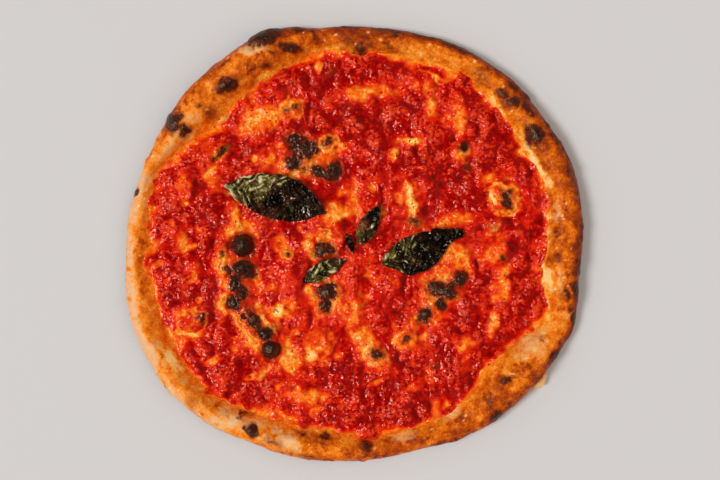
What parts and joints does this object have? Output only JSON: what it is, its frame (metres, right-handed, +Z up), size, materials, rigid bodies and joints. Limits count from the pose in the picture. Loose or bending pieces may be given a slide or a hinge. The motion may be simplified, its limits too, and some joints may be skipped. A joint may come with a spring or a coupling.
{
  "type": "marinara pizza",
  "caption": "Round flat bread with a puffed, spotted rim, a layer of red tomato sauce broken by burnt blisters, and wilted basil leaves lying on top.",
  "frame": {"origin": "middle of the pizza's outline, on the surface it lies on", "axes": "+Z up through the sauce; +Y is the top of the picture and +X its right"},
  "size_m": [0.32, 0.3038, 0.0209],
  "materials": {
    "crust": "baked dough, golden brown with burnt spots",
    "sauce": "wet tomato pulp",
    "basil": "oiled, half-burnt leaf"
  },
  "bodies": {
    "root": {"crust": "crust", "sauce": "sauce", "basil_leaf_west": "basil", "basil_leaf_east": "basil", "basil_leaf_north": "basil", "basil_leaf_south": "basil", "basil_leaf_tiny": "basil"}
  },
  "joints": []
}
